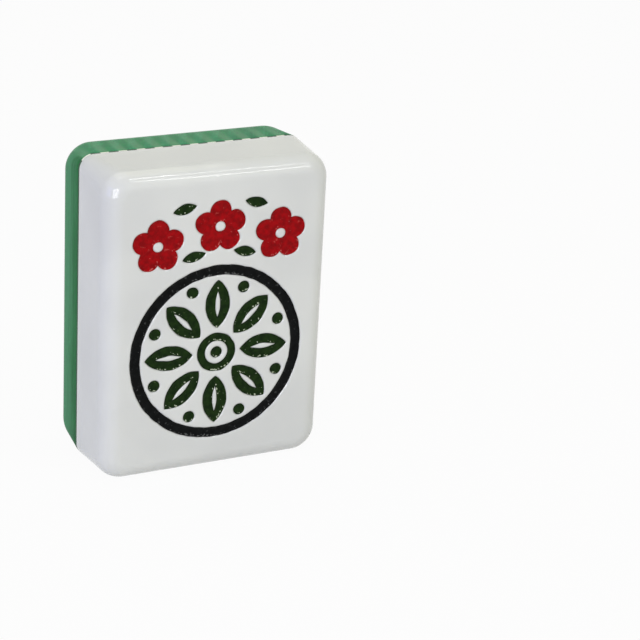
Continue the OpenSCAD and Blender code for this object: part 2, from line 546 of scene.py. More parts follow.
@dataclass(frozen=True)
class WovenStripes:
    """Striped cloth: satin bands of green warp on a smooth pale ground, tied by pale weft, cut at its rim,
    with painted sheen and shade along the strands.
    """

    pitch: float
    centre: float
    green_share: float
    rib_w: float
    float_len: float
    half_w: float
    height: float
    corner_r: float
    weft_pitch: float = 0.21
    dotted_w: float = 3.0
    shown_w: float = 3.0
    rim: float = 0.04
    edge_wave: float = 0.006
    edge_fuzz: float = 0.03
    fuzz_w: float = 0.3
    edge_soft: float = 0.02
    streak_w: float = 0.1
    streak_stretch: Place = (1.0, 1.0, 0.14)
    drift_w: float = 4.0
    drift_stretch: Place = (1.0, 1.0, 0.25)
    dullness: float = 0.62
    sheen: float = 0.22
    thread_depth: float = 0.02
    pale: Rgb = (216, 234, 220)
    pale_shade: Rgb = (204, 226, 210)
    green: Rgb = (26, 204, 88)
    deep_green: Rgb = (6, 154, 52)
    bright_green: Rgb = (132, 242, 172)
    tie: Rgb = (186, 236, 200)
    cut_pale: Rgb = (230, 230, 216)
    cut_green: Rgb = (8, 50, 26)

    def material(self) -> bpy.types.Material:
        """Builds the finish.

        Returns:
            The material.
        """
        recipe = Recipe.named("striped_cloth")
        x = recipe.axis("X")
        z = recipe.axis("Z")
        weft = (z * (2 * math.pi / self.weft_pitch)).sine()
        fuzz = self.edge_fuzz * (recipe.cloud(self.fuzz_w, detail=1.0) - 0.5)
        edge = recipe.across(self.pitch, self.centre).size() + self.edge_wave * weft + fuzz
        half = self.green_share / 2
        green_band = edge.ease(half - self.edge_soft, half + self.edge_soft, 1.0, 0.0)

        # Each rib floats over the weft and dips where it is tied, half a float later than its neighbour.
        rib = x / self.rib_w
        along = (z / self.float_len + rib.whole() * 0.5).part()
        crest = 1 - (2 * along - 1).size()
        flank = (rib.part() - 0.5).size()
        tie = crest.ease(0.06, 0.24, 1.0, 0.0) * flank.ease(0.16, 0.36, 1.0, 0.0)
        lean = (rib.whole() * 0.5).part().ease(0.2, 0.3, 0.5, -0.5)
        slant = (rib + (2 * along - 1) * lean).part()
        strand = (slant - 0.5).size().ease(0.1, 0.42, 1.0, 0.0)
        streak = recipe.cloud(self.streak_w, stretch=self.streak_stretch)

        # The pale ties show in patches, and all along the tile's edges.
        beyond = (x.size() - self.half_w).at_least((z - self.height / 2).size() - self.height / 2)
        dotted = beyond.ease(-self.dotted_w, -0.3 * self.dotted_w)
        shown = recipe.cloud(self.shown_w, detail=1.0).ease(0.5, 0.75).at_least(dotted)

        # Painted sheen and shade: each strand is lighter in its middle and deeper green at its edges, with a
        # painted highlight where a float crests; the streaks add random tone.
        painted_sheen_and_tone = strand * 0.6 + 0.4 * streak.ease(0.35, 0.6)
        satin = recipe.blend(painted_sheen_and_tone, self.deep_green, self.green)
        satin = recipe.blend(streak.ease(0.46, 0.62) * crest * strand, satin, self.bright_green)
        satin = recipe.blend(tie * (0.06 + 0.74 * shown), satin, self.tie)
        drift = recipe.cloud(self.drift_w, detail=3.0, stretch=self.drift_stretch).ease(0.3, 0.7)
        ground = recipe.blend(drift * 0.8 + 0.12 * weft, self.pale, self.pale_shade)
        height = green_band * (0.5 * crest * strand + 0.35 * streak) + 0.12 * weft
        outside, _ = recipe.outline(self.half_w, self.height, self.corner_r)
        ends = recipe.blend(green_band, self.cut_pale, self.cut_green)
        woven = recipe.blend(green_band, ground, satin)
        return recipe.finish(recipe.principled(
            Base_Color=recipe.blend(outside.ease(-self.rim, -self.rim / 2), woven, ends),
            Roughness=self.dullness - self.sheen * green_band,
            Normal=recipe.bump(height, self.thread_depth),
        ))


@dataclass(frozen=True)
class ClearAcrylic:
    """Clear acrylic, a little green in the mass, polished at the back and ground satin on its sides and ends.

    The ground faces are tinted green and share a matt satin whose colours are painted light: painted shade,
    darker on the long sides and by the joint, and a painted glow of the stripes at the ends.
    """

    half_w: float
    height: float
    joint_y: float
    pitch: float
    centre: float
    glow_w: float = 3.0
    corner_r: float = 2.2
    ground_w: float = 0.4
    haze_w: float = 2.5
    swell_w: float = 6.0
    swell_depth: float = 0.004
    streak_w: float = 0.5
    streak_stretch: Place = (1.0, 1.0, 0.06)
    streak_reach: float = 3.0
    end_painted_share: float = 0.6
    side_painted_share: float = 0.2
    satin_dullness: float = 0.3
    ior: float = 1.49
    clear: Rgb = (250, 254, 251)
    shaded_ground_side: Rgb = (4, 106, 36)
    ground_end: Rgb = (24, 144, 76)
    painted_side_at_joint: Rgb = (36, 112, 62)
    painted_side_away: Rgb = (84, 152, 108)
    satin_green: Rgb = (0, 133, 80)
    painted_stripe_pale: Rgb = (96, 158, 116)
    glare: Rgb = (186, 238, 210)
    mass: tuple[float, float, float, float] = (0.0, 0.85, 0.5, 1.0)
    density: float = 14.0

    def material(self) -> bpy.types.Material:
        """Builds the finish: clear acrylic, with a share of matt satin mixed in where it is ground, its
        colours painted shade and a painted glow of the stripes.

        Returns:
            The material.
        """
        recipe = Recipe.named("clear_plastic")
        haze = recipe.cloud(self.haze_w, detail=4.0).ease(0.45, 0.75, 0.015, 0.05)
        beyond, long_side = recipe.outline(self.half_w, self.height, self.corner_r)
        ground = beyond.ease(-self.ground_w, 0.0)
        # Painted shade: the ground faces tint the light through them green, darker on the long sides than at
        # the ends.
        tint = recipe.blend(long_side, self.ground_end, self.shaded_ground_side)
        clear = recipe.principled(
            Base_Color=recipe.blend(ground, self.clear, tint),
            Roughness=haze + ground * (0.06 + 0.07 * long_side),
            Normal=recipe.bump(recipe.cloud(self.swell_w, detail=1.0), self.swell_depth),
            IOR=self.ior,
            Specular_Tint=linear(self.glare),
            Transmission_Weight=1.0,
        )
        streak = recipe.cloud(self.streak_w, detail=3.0, stretch=self.streak_stretch) - 0.5
        depth = recipe.axis("Y") + self.streak_reach * streak
        away = depth.ease(self.joint_y, self.joint_y + self.glow_w)
        # Painted shade on the long sides' satin: darker next to the joint, lighter away from it.
        side = recipe.blend(away, self.painted_side_at_joint, self.painted_side_away)
        # Painted glow of the stripes on the ends' satin, as if seen through the cap, fading away from the
        # joint.
        pale = recipe.across(self.pitch, self.centre).size().ease(0.1, 0.42)
        glow = 0.5 + (pale - 0.5) * (1 - 0.6 * away)
        end = recipe.blend(glow, self.satin_green, self.painted_stripe_pale)
        satin = recipe.principled(
            Base_Color=recipe.blend(long_side, end, side),
            Roughness=self.satin_dullness + haze,
            Specular_IOR_Level=0.0,
        )
        # The satin with its painted colours takes a share of the ground faces, more on the long sides.
        surface = recipe.mix(ground * (self.end_painted_share + self.side_painted_share * long_side), clear, satin)
        mass = {"Color": self.mass, "Density": self.density}
        return recipe.finish(surface, recipe.node("ShaderNodeVolumeAbsorption", sockets=mass))


@dataclass(frozen=True)
class YellowGlue:
    """Clear glue that has yellowed where it meets the air."""

    pale: Rgb = (214, 207, 174)
    dark: Rgb = (180, 166, 120)
    patch_w: float = 1.4
    grain_w: float = 0.2
    grain_depth: float = 0.01

    def material(self) -> bpy.types.Material:
        """Builds the finish.

        Returns:
            The material.
        """
        recipe = Recipe.named("glue")
        patch = recipe.cloud(self.patch_w, detail=3.0)
        return recipe.finish(recipe.principled(
            Base_Color=recipe.blend(patch.ease(0.4, 0.7), self.pale, self.dark),
            Roughness=0.25 + 0.2 * patch,
            Normal=recipe.bump(recipe.cloud(self.grain_w), self.grain_depth),
        ))


@dataclass(frozen=True)
class Plate:
    """A layer of the tile: a rounded rectangle, with its outer side rounded over and its joint side flat.

    The outer flat is a grid of places across and up the tile, whose corner cells are bent onto the corner's
    arc. The rim is the grid's border carried outwards along a profile. The corners tighten evenly, from
    corner_r at the outer side to joint_r at the joint.
    """

    half_w: float
    height: float
    corner_r: float
    joint_r: float
    outer_y: float
    joint_y: float
    edge_r: float
    side: Side
    inset: float = 0.0
    step: float = 1.0
    arc_cells: int = 10
    rim_steps: int = 20
    side_steps: int = 6
    break_r: float = 0.05
    break_steps: int = 3

    @property
    def thick(self) -> float:
        """Thickness of the plate."""
        return abs(self.joint_y - self.outer_y)

    def lines(self, half: float, radius: float) -> Array:
        """Grid lines across the outer flat, closer together beside its corners.

        Args:
            half: Half the flat's size in this direction.
            radius: Radius of the flat's corners.

        Returns:
            Places of the lines, from -half to half.
        """
        inner = half - radius
        middle = np.linspace(-inner, inner, math.ceil(2 * inner / self.step) + 1)
        corner = np.linspace(inner, half, self.arc_cells + 1)[1:]
        return np.concatenate([-corner[::-1], middle, corner])

    def profile(self) -> tuple[Array, Array]:
        """Profile of the rim: a quarter circle, the straight side and a small broken edge at the joint.

        Returns:
            How far each ring reaches beyond the outer flat, and how far it drops below it.
        """
        turn = np.linspace(0, math.pi / 2, self.rim_steps + 1)[1:]
        straight = np.linspace(self.edge_r, self.thick - self.break_r, self.side_steps + 1)[1:]
        close = np.linspace(0, math.pi / 2, self.break_steps + 1)[1:]
        reach = [self.edge_r * np.sin(turn), np.full(len(straight), self.edge_r),
                 self.edge_r - self.break_r * (1 - np.cos(close))]
        drop = [self.edge_r * (1 - np.cos(turn)), straight, self.thick - self.break_r * (1 - np.sin(close))]
        return np.concatenate(reach), np.concatenate(drop)

    def build(self, relief: Relief | None = None) -> Surface:
        """Works out the closed surface.

        In a corner cell block, a place (a, b) from 0 to 1 moves to a * sqrt(1 - b^2 / 2),
        b * sqrt(1 - a^2 / 2), which carries the block's two outer sides onto a quarter circle. A ring of the
        rim is the border's core, scaled so that the ring's straight sides lie where its reach puts them, plus
        the ring's own radius outwards.

        Args:
            relief: Depth of the outer flat below its level, by place across and up the tile.

        Returns:
            The surface.
        """
        half = np.array([self.half_w, self.height / 2]) - self.inset - self.edge_r
        radius = self.corner_r - self.inset - self.edge_r
        x, z = np.meshgrid(self.lines(half[0], radius), self.lines(half[1], radius))
        flat = np.stack([x, z], axis=-1)
        core = np.clip(flat, radius - half, half - radius)
        past = (flat - core) / radius
        flat = core + radius * past * np.sqrt(1 - past[..., ::-1] ** 2 / 2)
        middle_z = self.height / 2
        depth = np.zeros(x.shape) if relief is None else relief(flat[..., 0], flat[..., 1] + middle_z)

        index = np.arange(x.size).reshape(x.shape)
        loop = np.concatenate([index[0, :-1], index[:-1, -1], index[-1, :0:-1], index[:0:-1, 0]])
        border = flat.reshape(-1, 2)[loop]
        border_core = np.clip(border, radius - half, half - radius)
        outward = (border - border_core) / radius
        border_depth = depth.ravel()[loop]

        reach, drop = self.profile()
        fade = np.clip(1 - drop / self.thick, 0, 1)
        tighten = (self.corner_r - self.joint_r) * drop / self.thick
        ring_r = (radius + reach - tighten)[:, None, None]
        straight_half = half + reach[:, None, None] - ring_r
        rim = border_core * straight_half / (half - radius) + outward * ring_r
        rim_depth = drop[:, None] + fade[:, None] * border_depth

        places = np.concatenate([flat.reshape(-1, 2), rim.reshape(-1, 2)])
        depths = np.concatenate([depth.ravel(), rim_depth.ravel()])
        y = self.outer_y + self.side.value * depths
        points = np.stack([places[:, 0], y, places[:, 1] + middle_z], axis=-1)
        rings = np.concatenate([loop[None], x.size + np.arange(rim_depth.size).reshape(rim_depth.shape)])
        back = self.side is Side.BACK
        quads = [grid_quads(index, flip=back), grid_quads(closed_rows(rings), flip=not back)]
        return Surface(points, np.concatenate(quads), [rings[-1] if back else rings[-1, ::-1]])


@dataclass(frozen=True)
class Pool:
    """A pool of enamel in its groove: the band from an outline to a core, closed in the core if unwalled."""

    node: str
    enamel: Enamel
    centre: tuple[float, float]
    walled: bool = True
    samples: int = 120

    def local(self, x: Array, z: Array) -> tuple[Array, Array]:
        """Places measured from the pool's centre."""
        return x - self.centre[0], z - self.centre[1]

    def outline(self, turn: Array) -> Array:
        """Outer edge, by share of a whole turn, as places from the centre."""
        raise NotImplementedError

    def core(self, turn: Array) -> Array:
        """Inner edge, by share of a whole turn, as places from the centre."""
        raise NotImplementedError

    def distance(self, x: Array, z: Array) -> Array:
        """Distance outside the pool's edge, negative inside."""
        raise NotImplementedError


def circle(turn: Array, radius: Array | float) -> Array:
    """Points round a circle, by share of a whole turn, counted from +X towards +Z."""
    return np.stack([radius * np.cos(2 * math.pi * turn), radius * np.sin(2 * math.pi * turn)], axis=-1)


def turned(a: Array, b: Array, angle: float) -> tuple[Array, Array]:
    """Turns places through an angle, to a * cos - b * sin and a * sin + b * cos."""
    c, s = math.cos(angle), math.sin(angle)
    return c * a - s * b, s * a + c * b


@dataclass(frozen=True)
class RingPool(Pool):
    """Enamel between two circles."""

    outer_r: float = 1.0
    inner_r: float = 0.5

    def outline(self, turn: Array) -> Array:
        """The outer circle."""
        return circle(turn, self.outer_r)

    def core(self, turn: Array) -> Array:
        """The inner circle."""
        return circle(turn, self.inner_r)

    def distance(self, x: Array, z: Array) -> Array:
        """Distance from the ring's middle line, less half its stroke."""
        out = np.hypot(*self.local(x, z))
        return np.abs(out - (self.outer_r + self.inner_r) / 2) - (self.outer_r - self.inner_r) / 2


@dataclass(frozen=True)
class DotPool(Pool):
    """A round dot of enamel."""

    radius: float = 1.0
    core_share: float = 0.08

    def outline(self, turn: Array) -> Array:
        """The circle."""
        return circle(turn, self.radius)

    def core(self, turn: Array) -> Array:
        """A small circle in the middle, which a flat face closes."""
        return circle(turn, self.core_share * self.radius)

    def distance(self, x: Array, z: Array) -> Array:
        """Distance from the centre, less the radius."""
        return np.hypot(*self.local(x, z)) - self.radius


@dataclass(frozen=True)
class Lens:
    """A pointed leaf shape along its own X axis, between two arcs."""

    length: float
    width: float

    @property
    def arc_r(self) -> float:
        """Radius of the two arcs."""
        return (self.length**2 + self.width**2) / (4 * self.width)

    def outline(self, turn: Array) -> Array:
        """Round the lens: the upper arc from tip to tip in the first half turn, then the lower one back.

        Args:
            turn: Shares of a whole turn.

        Returns:
            Places along and across the lens.
        """
        spread = math.asin(self.length / 2 / self.arc_r)
        angle = (4 * (turn % 0.5) - 1) * spread
        along = -self.arc_r * np.sin(angle)
        across = self.arc_r * np.cos(angle) - self.arc_r + self.width / 2
        return np.where(turn < 0.5, 1, -1)[:, None] * np.stack([along, across], axis=-1)

    def distance(self, along: Array, across: Array) -> Array:
        """The larger distance outside the two arcs' circles."""
        return np.hypot(along, np.abs(across) + self.arc_r - self.width / 2) - self.arc_r


@dataclass(frozen=True)
class LeafPool(Pool):
    """A leaf of enamel, with a white vein where it has one."""

    blade: Lens = Lens(2.0, 1.0)
    vein: Lens | None = None
    angle: float = 0.0
    core_share: tuple[float, float] = (0.7, 0.08)

    def laid(self, places: Array) -> Array:
        """Turns places on the leaf's own axis into the tile's directions."""
        return np.stack(turned(places[..., 0], places[..., 1], self.angle), axis=-1)

    def outline(self, turn: Array) -> Array:
        """The blade's edge."""
        return self.laid(self.blade.outline(turn))

    def core(self, turn: Array) -> Array:
        """The vein's edge, or a sliver along the axis, which a flat face closes."""
        edge = self.vein.outline(turn) if self.vein else self.blade.outline(turn) * self.core_share
        return self.laid(edge)

    def distance(self, x: Array, z: Array) -> Array:
        """Distance outside the blade or into the vein, whichever is larger.

        Args:
            x: Places across the tile.
            z: Places up the tile.

        Returns:
            The distance at each place.
        """
        along, across = turned(*self.local(x, z), -self.angle)
        far = self.blade.distance(along, across)
        return np.maximum(far, -self.vein.distance(along, across)) if self.vein else far


@dataclass(frozen=True)
class BlossomPool(Pool):
    """A blossom of round lobes about a white boss."""

    lobes: int = 5
    lobe_r: float = 1.0
    orbit_r: float = 1.5
    boss_r: float = 0.5

    def lobe_angles(self) -> Array:
        """Directions of the lobes, with one at the top."""
        return math.pi / 2 + 2 * math.pi * np.arange(self.lobes) / self.lobes

    def outline(self, turn: Array) -> Array:
        """Where each ray from the centre leaves the lobes: orbit cos + sqrt(r^2 - orbit^2 sin^2).

        Args:
            turn: Shares of a whole turn.

        Returns:
            Places from the centre.
        """
        off = 2 * math.pi * turn[:, None] - self.lobe_angles()
        under = self.lobe_r**2 - (self.orbit_r * np.sin(off)) ** 2
        hit = (under > 0) & (np.cos(off) > 0)
        far = np.where(hit, self.orbit_r * np.cos(off) + np.sqrt(np.maximum(under, 0)), self.orbit_r)
        return circle(turn, far.max(axis=1))

    def core(self, turn: Array) -> Array:
        """The boss's circle."""
        return circle(turn, self.boss_r)

    def distance(self, x: Array, z: Array) -> Array:
        """The least distance from a lobe or the middle, or the distance into the boss, whichever is larger.

        Args:
            x: Places across the tile.
            z: Places up the tile.

        Returns:
            The distance at each place.
        """
        x, z = self.local(x, z)
        out = np.hypot(x, z)
        far = out - self.orbit_r
        for angle in self.lobe_angles():
            lobe_x, lobe_z = self.orbit_r * math.cos(angle), self.orbit_r * math.sin(angle)
            far = np.minimum(far, np.hypot(x - lobe_x, z - lobe_z) - self.lobe_r)
        return np.maximum(far, self.boss_r - out)


@dataclass
class Engraving:
    """The grooves in the face and the enamel in them: a ring with a petal rosette, and a blossom garland."""

    ring_stroke: float = 0.95
    heart_stroke: float = 0.75
    vein_inset: float = 1.05
    vein_w: float = 0.5
    petals: int = 8
    blossoms: int = 3
    leaves: int = 4
    lobe_overlap: float = 0.3
    boss_r: float = 0.5
    leaf_blade: Lens = Lens(2.3, 0.95)
    lip: float = 0.14
    wall: float = 0.26
    groove_depth: float = 0.44
    paint_edge: float = 0.055
    paint_dip: float = 0.085
    meniscus: float = 0.075
    lump: float = 0.015
    fine_lump: float = 0.6
    edge_lump: float = 0.25
    lumps: Ripple = Ripple(0.75, seed=11)
    fine_lumps: Ripple = Ripple(0.33, seed=12)
    wander: float = 0.03
    wanderings: Ripple = Ripple(1.3, seed=31)
    rim_w: float = 0.12
    tuck: float = 0.02
    rows: int = 14
    pools: list[Pool] = field(default_factory=list)

    def __post_init__(self) -> None:
        """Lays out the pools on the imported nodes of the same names."""
        self.pools = [self.ring("black_ring_paint", Enamel.BLACK, self.ring_stroke, samples=480),
                      self.ring("heart_ring_paint", Enamel.GREEN, self.heart_stroke, samples=180),
                      self.dot("heart_dot_paint"), *self.rosette(), *self.garland()]

    @staticmethod
    def middle(node: str) -> tuple[tuple[float, float], tuple[float, float]]:
        """Centre and half sizes of a node, across and up the tile.

        Args:
            node: Name of the node.

        Returns:
            The centre and the half sizes.
        """
        low, high = node_box(node)
        centre = (low[0] + high[0]) / 2, (low[2] + high[2]) / 2
        return centre, ((high[0] - low[0]) / 2, (high[2] - low[2]) / 2)

    def ring(self, node: str, enamel: Enamel, stroke: float, samples: int) -> Pool:
        """A ring whose outer circle fills its node's box."""
        centre, (outer_r, _) = self.middle(node)
        return RingPool(node, enamel, centre, samples=samples, outer_r=outer_r, inner_r=outer_r - stroke)

    def dot(self, node: str) -> Pool:
        """A green dot that fills its node's box."""
        centre, (radius, _) = self.middle(node)
        return DotPool(node, Enamel.GREEN, centre, walled=False, radius=radius)

    def rosette(self) -> list[Pool]:
        """The petals, counted clockwise from the top, and the dots between them.

        Returns:
            The pools, each petal before its dot.
        """
        _, (half_w, half_len) = self.middle("green_petal_1")
        blade = Lens(2 * half_len, 2 * half_w)
        vein = Lens(blade.length - 2 * self.vein_inset, self.vein_w)
        found: list[Pool] = []
        for number in range(1, self.petals + 1):
            node = f"green_petal_{number}"
            centre, _ = self.middle(node)
            angle = math.pi / 2 - 2 * math.pi * (number - 1) / self.petals
            petal = LeafPool(node, Enamel.GREEN, centre, samples=160, blade=blade, vein=vein, angle=angle)
            found += [petal, self.dot(f"green_dot_{number}")]
        return found

    def blossom(self, node: str) -> Pool:
        """A blossom whose lobes reach the sides and the top of its node's box.

        Lobes overlap their neighbours, so lobe_r = (radius * rise + overlap / 2) / (1 + rise), where rise is
        the sine of half the angle between two lobes. The half width, (radius - lobe_r) * lean + lobe_r, is
        solved for the radius, where lean is the cosine of a quarter of that angle.

        Args:
            node: Name of the node.

        Returns:
            The pool.
        """
        (x, _), (half_w, _) = self.middle(node)
        _, high = node_box(node)
        step = math.pi / BlossomPool.lobes
        rise, lean = math.sin(step), math.cos(step / 2)
        gap = (1 - lean) * self.lobe_overlap / 2 / (1 + rise)
        radius = (half_w - gap) / (lean + (1 - lean) * rise / (1 + rise))
        lobe_r = (radius * rise + self.lobe_overlap / 2) / (1 + rise)
        return BlossomPool(node, Enamel.RED, (x, high[2] - radius), samples=360, lobe_r=lobe_r,
                           orbit_r=radius - lobe_r, boss_r=self.boss_r)

    def garland(self) -> list[Pool]:
        """The blossoms, and the leaves between them along the garland's bend.

        Returns:
            The pools, the blossoms first.
        """
        found = [self.blossom(f"red_blossom_{number}") for number in range(1, self.blossoms + 1)]
        (first_x, first_z), (next_x, next_z) = found[0].centre, found[1].centre
        slope = math.atan2(next_z - first_z, next_x - first_x)
        for number in range(1, self.leaves + 1):
            node = f"green_leaf_{number}"
            centre, _ = self.middle(node)
            angle = slope if number <= self.leaves / 2 else -slope
            leaf = LeafPool(node, Enamel.GREEN, centre, walled=False, blade=self.leaf_blade, angle=angle)
            found.append(leaf)
        return found

    def stray(self, x: Array, z: Array) -> Array:
        """How far the cutter strayed into the white at each place."""
        return self.wander * self.wanderings.at(x, z)

    def inside(self, pool: Pool, x: Array, z: Array) -> Array:
        """Distance inside a pool's strayed edge, 0 outside."""
        return np.maximum(self.stray(x, z) - pool.distance(x, z), 0)

    def distance(self, x: Array, z: Array) -> Array:
        """Distance outside the nearest groove, negative inside."""
        return np.minimum.reduce([pool.distance(x, z) for pool in self.pools]) - self.stray(x, z)

    def groove(self, far: Array) -> Array:
        """Depth of the groove by distance outside its edge: an S-curve from a soft lip down to the floor."""
        return self.groove_depth * smooth_step(-self.lip, self.wall, -far)

    def paint_depth(self, inside: Array, x: Array, z: Array) -> Array:
        """Depth of the enamel's skin.

        It climbs the groove's wall in a curve, edge + dip * (1 - exp(-inside / meniscus)), and is lumpy.

        Args:
            inside: Distance inside the pool's edge.
            x: Places across the tile.
            z: Places up the tile.

        Returns:
            Depth below the face.
        """
        sag = 1 - np.exp(-inside / self.meniscus)
        lumps = self.lumps.at(x, z) + self.fine_lump * self.fine_lumps.at(x, z)
        lumpy = self.edge_lump + (1 - self.edge_lump) * sag
        return self.paint_edge + self.paint_dip * sag + self.lump * lumps * lumpy

    def pour(self, pool: Pool) -> Surface:
        """Works out the closed surface of one pool.

        The skin is the straight blend from the outline to the core, with rows that crowd towards the walls,
        and the underside is the same grid on the groove's floor. Both edges stray outwards with the groove.
        Its mark low_rim says how near each vertex is to a lower edge, from 0 to 1, where the enamel's finish
        paints glints.

        Args:
            pool: The pool.

        Returns:
            The surface.
        """
        turn = np.arange(pool.samples) / pool.samples
        share = (1 - np.cos(np.linspace(0, math.pi, self.rows + 1))) / 2
        outline = pool.outline(turn) + np.array(pool.centre)
        core = pool.core(turn) + np.array(pool.centre)
        outward = (outline - core) / np.linalg.norm(outline - core, axis=-1, keepdims=True)
        outline = outline + outward * self.stray(outline[:, 0], outline[:, 1])[:, None]
        if pool.walled:
            core = core - outward * self.stray(core[:, 0], core[:, 1])[:, None]
        places = outline + share[:, None, None] * (core - outline)
        x, z = places[..., 0], places[..., 1]

        inside = self.inside(pool, x, z)
        # low_rim places the enamel's painted glints along the lower edges of each pool.
        facing = outward[:, 1] * np.where(share[:, None] < 0.5, -1, 1)
        low_rim = np.clip(facing, 0, 1) * np.exp(-((inside / self.rim_w - 1) ** 2))
        skin = self.paint_depth(inside, x, z)
        floor = np.maximum(self.groove(-inside) + self.tuck, skin + self.tuck)
        face_y = node_box("face_block")[0][1]
        top = np.stack([x, face_y + skin, z], axis=-1)
        under = np.stack([x, face_y + floor, z], axis=-1)[::-1]
        points = np.concatenate([top, under]).reshape(-1, 3)

        index = np.arange(len(points)).reshape(2 * (self.rows + 1), pool.samples)
        inner, outer = index[self.rows], index[self.rows + 1]
        bands = [index[:self.rows + 1], index[self.rows + 1:], index[[-1, 0]]]
        if pool.walled:
            bands.append(np.stack([inner, outer]))
        quads = np.concatenate([grid_quads(closed_rows(band)) for band in bands])
        caps = [] if pool.walled else [inner, outer[::-1]]
        return Surface(points, quads, caps, {"low_rim": np.concatenate([low_rim, low_rim[::-1]])})

    def build(self) -> list[bpy.types.Object]:
        """Makes and dresses every pool.

        Returns:
            The pieces.
        """
        made = {finish.enamel: finish.material() for finish in ENAMELS}
        pieces = []
        for pool in self.pools:
            name = pool.node.removesuffix("_paint") + "_enamel"
            slot = pool.enamel.value
            pieces.append(write_piece(name, self.pour(pool), made[pool.enamel], slot, pool.node))
        return pieces


@dataclass
class FaceBlock:
    """The white block that carries the face."""

    engraving: Engraving
    corner_r: float = 2.6
    joint_r: float = 1.4
    edge_r: float = 1.7
    polish: float = 0.006
    polish_waves: Ripple = Ripple(7.0, seed=21)

    def relief(self, x: Array, z: Array) -> Array:
        """Depth of the face: the grooves, and the slow waves of hand polishing."""
        waves = self.polish * (1 + self.polish_waves.at(x, z)) / 2
        return self.engraving.groove(self.engraving.distance(x, z)) + np.maximum(waves, 0)

    def build(self) -> list[bpy.types.Object]:
        """Makes and dresses the block.

        Returns:
            The piece.
        """
        low, high = node_box("face_block")
        plate = Plate(half_w=high[0], height=high[2], corner_r=self.corner_r, joint_r=self.joint_r,
                      outer_y=low[1], joint_y=high[1], edge_r=self.edge_r, side=Side.FRONT,
                      step=0.1, arc_cells=12, rim_steps=18)
        shape = plate.build(self.relief)
        finish = WhitePlastic().material()
        return [write_piece("white_face_block", shape, finish, "white_plastic", "face_block")]


@dataclass
class Laminate:
    """What lies behind the block: the glue line, the striped cloth and the clear cap."""

    joint_r: float = 1.4
    back_corner_r: float = 3.0
    back_edge_r: float = 2.5
    glue_inset: float = 0.03
    glue_edge_r: float = 0.02
    cloth_inset: float = 0.01
    cloth_edge_r: float = 0.03
    thin_break_r: float = 0.01
    bond: float = 0.07
    stripe_pitch: float = 1.76
    stripe_centre: float = 1.01
    green_share: float = 0.53
    band_soft: float = 0.03
    ribs_per_stripe: int = 6
    float_len: float = 0.85
    rib_relief: float = 0.03
    band_relief: float = 0.03
    tied_share: float = 0.4
    ground_share: float = 0.3
    half_w: float = field(init=False)
    height: float = field(init=False)

    def __post_init__(self) -> None:
        """Takes the outline from the block's box."""
        _, high = node_box("face_block")
        self.half_w, self.height = high[0], high[2]

    @property
    def rib_w(self) -> float:
        """Width of one rib of the weave."""
        return self.stripe_pitch / self.ribs_per_stripe

    def weave(self, x: Array, z: Array) -> Array:
        """Depth of the cloth's back: half-sine ribs that dip where the weft ties them, and raised bands.

        Args:
            x: Places across the tile.
            z: Places up the tile.

        Returns:
            Depth below the highest rib.
        """
        across = np.abs(((x - self.stripe_centre) / self.stripe_pitch + 0.5) % 1 - 0.5)
        half = self.green_share / 2
        band = smooth_step(-half - self.band_soft, -half + self.band_soft, -across)
        rib = x / self.rib_w
        round_back = np.abs(np.sin(math.pi * rib))
        crest = 0.5 - 0.5 * np.cos(2 * math.pi * (z / self.float_len + 0.5 * np.floor(rib)))
        floated = self.tied_share + (1 - self.tied_share) * crest
        raised = self.ground_share + (1 - self.ground_share) * band
        height = self.rib_relief * round_back * floated * raised + self.band_relief * band
        return self.rib_relief + self.band_relief - height

    def thin_plate(self, node: str, edge_r: float, inset: float, step: float) -> Plate:
        """A thin layer with the joint's outline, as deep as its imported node.

        Args:
            node: Name of the node.
            edge_r: Radius of its rounded edge.
            inset: How far it stays inside the outline.
            step: Width of a grid cell.

        Returns:
            The plate.
        """
        low, high = node_box(node)
        return Plate(half_w=self.half_w, height=self.height, corner_r=self.joint_r, joint_r=self.joint_r,
                     outer_y=high[1], joint_y=low[1], edge_r=edge_r, side=Side.BACK, inset=inset, step=step,
                     arc_cells=16, rim_steps=2, side_steps=1, break_r=self.thin_break_r, break_steps=1)

    def glue(self) -> bpy.types.Object:
        """Makes and dresses the glue line."""
        plate = self.thin_plate("front_glue_film", self.glue_edge_r, self.glue_inset, step=0.6)
        return write_piece("glue_line", plate.build(), YellowGlue().material(), "glue", "front_glue_film")

    def cloth(self) -> bpy.types.Object:
        """Returns:
            The piece.
        """
        plate = self.thin_plate("striped_cloth", self.cloth_edge_r, self.cloth_inset, step=0.088)
        finish = WovenStripes(self.stripe_pitch, self.stripe_centre, self.green_share, self.rib_w,
                              self.float_len, self.half_w, self.height, self.joint_r).material()
        cloth = write_piece("woven_stripe_cloth", plate.build(self.weave), finish, "cloth", "striped_cloth")
        cut_off = (4 - math.pi) * self.joint_r**2
        2 * self.half_w * MM
        self.height * MM
        (2 * self.half_w * self.height - cut_off) * MM**2
        return cloth

    def cap(self) -> bpy.types.Object:
        """Makes and dresses the cap, which starts inside the cloth so that no air lies between them.

        Returns:
            The piece.
        """
        _, cloth_high = node_box("striped_cloth")
        _, high = node_box("clear_back_cap")
        bond_y = cloth_high[1] - self.bond
        plate = Plate(half_w=self.half_w, height=self.height, corner_r=self.back_corner_r,
                      joint_r=self.joint_r, outer_y=high[1], joint_y=bond_y, edge_r=self.back_edge_r,
                      side=Side.BACK, step=0.9, arc_cells=14, rim_steps=36, side_steps=12)
        finish = ClearAcrylic(self.half_w, self.height, bond_y, self.stripe_pitch, self.stripe_centre)
        return write_piece("clear_cap", plate.build(), finish.material(), "clear_plastic",
                           "clear_back_cap", "rear_glue_film")

    def build(self) -> list[bpy.types.Object]:
        """Makes the three layers in order."""
        return [self.glue(), self.cloth(), self.cap()]


